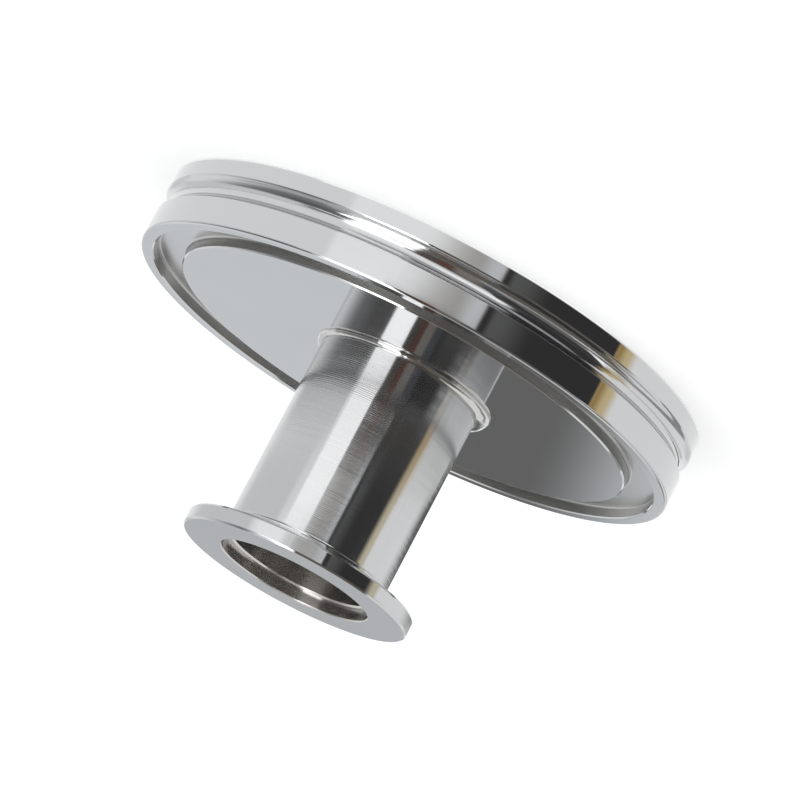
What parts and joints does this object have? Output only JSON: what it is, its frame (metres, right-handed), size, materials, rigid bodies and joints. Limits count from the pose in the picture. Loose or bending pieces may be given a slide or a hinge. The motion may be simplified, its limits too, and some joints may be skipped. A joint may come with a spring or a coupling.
{
  "type": "vacuum flange reducer",
  "caption": "Welded vacuum reducer: a wide clamped flange with a rim groove and claw channel, and a narrow stub flange with a tapered clamp face.",
  "frame": {"origin": "centre of the wide flange's sealing face, on which the part stands", "axes": "+Z along the bore, from the wide flange to the narrow one"},
  "size_m": [0.095, 0.095, 0.05],
  "materials": {
    "polished_flange": "fine turned and polished stainless steel",
    "turned_stub": "fine turned stainless steel with light lathe marks",
    "weld_metal": "bright, lightly rippled stainless weld"
  },
  "bodies": {
    "root": {"clamp_flange": "polished_flange", "stub_flange": "turned_stub", "weld_bead": "weld_metal"}
  },
  "joints": []
}
